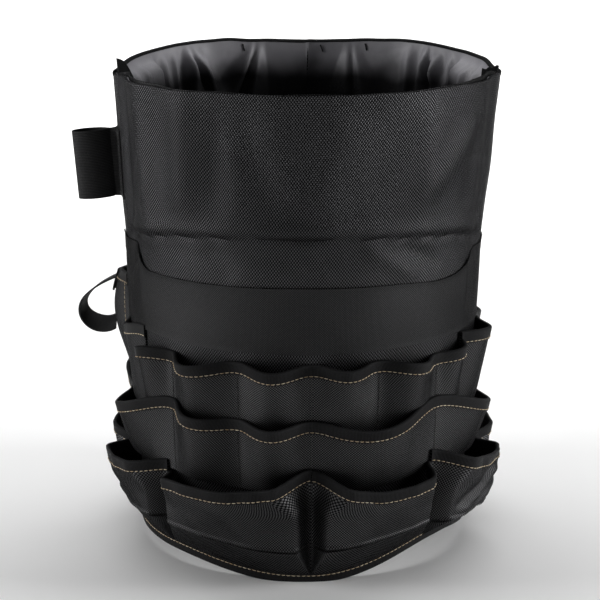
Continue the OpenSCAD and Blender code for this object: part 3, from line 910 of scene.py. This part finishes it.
def hem(name, node, rear):
    """Binding folded round the bottom edge, over the turned-up cloth."""
    t = half_angles(rear)
    z = hem_z(t) + 0.0008
    turned_up = 0.0022
    edge = polar(t, wall(t, z) + turned_up, z)
    normal = outward(t)
    down = np.broadcast_to(-UP, edge.shape)
    edge_tape(name, edge[::-1], normal[::-1], down, 0.0072, PANEL_T + LINING_T + turned_up, nodes=[node],
              tape_t=0.0007)
    z = hem_z(t) + 0.0052
    line = polar(t, wall(t, z) + turned_up + 0.0009, z)
    stitches(name + "_stitching", line, normal, seed=91 if rear else 90)


hem("front_hem_tape", "front_hem_binding", False)
hem("rear_hem_tape", "rear_hem_binding", True)

# ---------------------------------------------------------------- side seams


FIN_WIDTH, FIN_T = 0.0145, 0.0018


def side_fin(name, node, side):
    """The bound edges of the side seam: they lie inside along the rear cloth and stand up at the rim."""
    rows, columns = 60, 9
    z0, z1 = 0.010, float(rim_z(90.0))
    v = np.linspace(0, 1, rows)
    q = np.linspace(0, 1, columns)
    grid = np.zeros((columns, rows, 3))
    for j, t in enumerate(v):
        z = z0 + (z1 - z0) * t
        stand = float(step(np.array(z), z1 - 0.05, z1 - 0.004))
        swing = math.radians(84 - 52 * stand)
        root_r = float(wall(90.0 * side, z)) - PANEL_T - LINING_T - 0.0022
        root = np.array([AXIS_X + float(lean(z)) + side * root_r, 0.0015, z])
        inward = np.array([-side * math.cos(swing), math.sin(swing), 0.0])
        for i, w in enumerate(q):
            out = (0.0030 if side < 0 else 0.0045) * stand
            leaf = 0.0110 - 0.0165 * w + 0.0040 * math.sin(math.pi * w)
            frayed = 0.0050 - 0.0040 * w + 0.0008 * math.sin(14 * w)
            rise = stand * (leaf if side < 0 else frayed)
            wave = np.array([0, 0.0006 * math.sin(9 * t), 0])
            grid[i, j] = root + inward * (FIN_WIDTH * w - out) + UP * rise + wave
    if side < 0:
        grid = grid[::-1]
    shell(name, grid, FIN_T, MATERIALS["tape"], [node], sharp=40)


side_fin("left_seam_tape", "left_seam_binding", -1)
side_fin("right_seam_tape", "right_seam_binding", 1)

# ---------------------------------------------------------------- loops


def bezier(p, t):
    t = np.asarray(t)[:, None]
    p = [np.asarray(q, float) for q in p]
    return (1 - t) ** 3 * p[0] + 3 * (1 - t) ** 2 * t * p[1] + 3 * (1 - t) * t ** 2 * p[2] + t ** 3 * p[3]


def wide_loop():
    """The wide webbing loop, seen from above as a rounded bow whose ends meet the wall."""
    low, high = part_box("tool_loop")
    slope = math.atan((RIM_R - WAIST_R) / (CAD_RIM_Z - WAIST_Z))
    mid_z = (low.z + high.z) / 2
    width = 0.056
    reach = 0.031
    root_x = AXIS_X - float(cone_r(mid_z)) - 0.0043
    t = np.linspace(0, 1, 26)
    near = bezier([[0, 0.0010], [0.010, 0.0135], [reach, 0.0105], [reach, 0.0]], t)
    far = near[::-1] * [1, -1]
    plan = np.concatenate([near, far[1:]])
    out = np.array([-math.cos(slope), 0.0, -math.sin(slope)])
    up = np.array([-math.sin(slope), 0.0, math.cos(slope)])
    wall_x = AXIS_X + float(lean(mid_z)) - float(wall(-90.0, mid_z))
    join = np.linspace(0, 0.9, 5)[:, None]
    tail = np.array([wall_x - root_x + 0.0005, 0.004]) * [-1, 1]
    sewn = tail + (plan[0] - tail) * join
    plan = np.concatenate([sewn, plan, sewn[::-1] * [1, -1]])
    path = np.array([root_x, 0.0, mid_z]) + plan[:, :1] * out + plan[:, 1:] * np.array([0.0, -1.0, 0.0])
    w = np.linspace(-0.5, 0.5, 21)
    grid = path[:, None] + up * (w[None, :, None] * width)
    obj = shell("wide_loop_webbing", grid[::-1], WEBBING_T, MATERIALS["webbing"], ["tool_loop"],
                body=None, sharp=50)
    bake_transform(obj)


PATCH_ANGLES = (-98, -81)


def loop_patch():
    """The sewn-down end of the wide loop."""
    low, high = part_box("tool_loop_patch")
    t = np.linspace(*PATCH_ANGLES, 30)[:, None]
    z = np.linspace(low.z, high.z, 22)[None, :]
    grid = polar(t, wall(t, z) + PATCH_T + 0.0001, z)
    shell("wide_loop_sewn_end", grid, PATCH_T, MATERIALS["webbing"], ["tool_loop_patch"])


def from_axis(points):
    """The level direction from the axis to each point."""
    n = points - np.array([AXIS_X, 0.0, 0.0])
    n[:, 2] = 0
    return unit(n)


def box_stitches(name, surface, a0, a1, b0, b1, seed):
    """Dark stitches round a sewn-on patch. surface takes (across, up) from 0 to 1."""
    q = np.linspace(0, 1, 40)
    sides = [(a0 + (a1 - a0) * q, np.full(40, b0)), (np.full(40, a1), b0 + (b1 - b0) * q),
             (a1 + (a0 - a1) * q, np.full(40, b1)), (np.full(40, a0), b1 + (b0 - b1) * q)]
    path = np.concatenate([surface(u, v) for u, v in sides])
    keep = np.concatenate([[True], np.linalg.norm(np.diff(path, axis=0), axis=1) > 1e-6])
    stitches(name, path[keep], from_axis(path[keep]), pitch=0.0032, length=0.0026, seed=seed,
             material=MATERIALS["dark_thread"])


wide_loop()
loop_patch()


STRAP_ANGLE = 257.5


def small_strap():
    """The narrow strap: out from the tall pocket's top, down in a slightly twisted curve, and back."""
    a = math.radians(STRAP_ANGLE)
    width = 0.020
    out = np.array([math.sin(a), -math.cos(a), 0.0])
    side = np.array([math.cos(a), math.sin(a), 0.0])
    origin = np.array([AXIS_X, 0.0, 0.0])
    top, bottom, reach = (0.1590, 0.2090), (0.1630, 0.1665), 0.1935
    fold = (reach, 0.1790)
    t = np.linspace(0, 1, 24)
    upper = bezier([top, (top[0] + 0.008, top[1] - 0.003), (reach, fold[1] + 0.014), fold], t)
    lower = bezier([fold, (reach, fold[1] - 0.013), (bottom[0] + 0.012, bottom[1] - 0.008), bottom], t)
    plan = np.concatenate([upper, lower[1:]])
    path = origin + plan[:, :1] * out + plan[:, 1:] * UP
    tangent = unit(np.gradient(path, axis=0))
    twist = np.radians(28 * step(np.linspace(0, 1, len(path)), 0.45, 0.85))[:, None]
    across = unit(side * np.cos(twist) + np.cross(tangent, side) * np.sin(twist))
    w = np.linspace(-0.5, 0.5, 11)
    grid = path[:, None] + across[:, None] * (w[None, :, None] * width)
    obj = shell("small_strap_webbing", grid, 0.0014, MATERIALS["webbing"], ["strap_loop"],
                body=None, sharp=50)
    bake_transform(obj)


small_strap()
patch_low, patch_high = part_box("tool_loop_patch")


def loop_patch_face(u, v):
    """Point just off the patch, u to its right and v up, both from 0 to 1."""
    t = PATCH_ANGLES[0] + (PATCH_ANGLES[1] - PATCH_ANGLES[0]) * u
    z = patch_low.z + (patch_high.z - patch_low.z) * v
    return polar(t, wall(t, z) + PATCH_T + 0.0004, z)


for number, (first, last) in enumerate(((0.10, 0.42), (0.58, 0.90))):
    box_stitches(f"wide_loop_stitches_{number + 1}", loop_patch_face, first, last, 0.06, 0.94, 210 + number)


def strap_patch():
    """The strap's upper end, sewn over the tall pocket's binding."""
    t = np.linspace(STRAP_ANGLE - 3.7, STRAP_ANGLE + 3.7, 14)[:, None]
    v = np.linspace(0.8064, 1.0, 10)[None, :]
    grid = TALL.surface(t, v) + outward(t) * 0.0028
    shell("small_strap_sewn_end", grid, WEBBING_T, MATERIALS["webbing"], ["strap_patch"])


strap_patch()

for key in ("front_panel", "rear_panel"):
    sheet(pieces[key])
for key in ("front_lining", "rear_lining", "front_band", "rear_band", "front_rim_facing"):
    sheet(pieces[key])

# ---------------------------------------------------------------- stage


def floor():
    s = Shader("pale floor")
    grain = s.noise(30.0, 3.0)
    tone = s.mix(s.value_range(s.noise(2.0), 0.0, 1.0), (0.90, 0.90, 0.90, 1), (0.94, 0.94, 0.94, 1))
    material = s.set(Base_Color=tone, Roughness=s.value_range(grain, 0.5, 0.6), Normal=s.bump(grain, 0.00005))
    reach = 14.0
    verts = np.array([[-reach, -reach, 0], [reach, -reach, 0], [reach, reach, 0], [-reach, reach, 0]])
    obj = make_object("floor", verts, [(0, 1, 2, 3)], material, None, 0)


def area_light(name, place, target, size, power, spread=180, colour=(1, 1, 1)):
    data = bpy.data.lights.new(name, "AREA")
    data.shape = "RECTANGLE"
    data.size, data.size_y = size
    data.energy = power
    data.color = colour
    data.spread = math.radians(spread)
    obj = bpy.data.objects.new(name, data)
    scene.collection.objects.link(obj)
    obj.location = place
    obj.rotation_euler = (Vector(target) - Vector(place)).to_track_quat("-Z", "Y").to_euler()


def camera():
    data = bpy.data.cameras.new("camera")
    data.lens, data.sensor_width = 117.0, 36.0
    obj = bpy.data.objects.new("camera", data)
    scene.collection.objects.link(obj)
    distance, height, looks_down = 1.571, 0.614, 14.95
    obj.location = (AXIS_X - 0.0025, -distance, height)
    obj.rotation_euler = (math.radians(90 - looks_down), 0, 0)
    scene.camera = obj


def world():
    scene.world = bpy.data.worlds.new("studio")
    scene.world.use_nodes = True
    background = scene.world.node_tree.nodes["Background"]
    background.inputs[0].default_value = (1, 1, 1, 1)
    background.inputs[1].default_value = 0.10


floor()
camera()
world()
scene.view_settings.view_transform = "Standard"
area_light("left", (-1.93, -0.26, 0.60), (0.0, 0.0, 0.2), (0.5, 1.2), 24)
area_light("right", (1.93, -0.22, 0.60), (0.0, 0.0, 0.2), (0.5, 1.2), 27.5)
area_light("front", (-0.5, -2.6, 0.9), (0.0, 0.0, 0.2), (1.2, 0.8), 0.4)
area_light("floor", (0.0, 2.7, 2.6), (0.0, 3.0, 0.0), (5.6, 4.2), 178, spread=125)
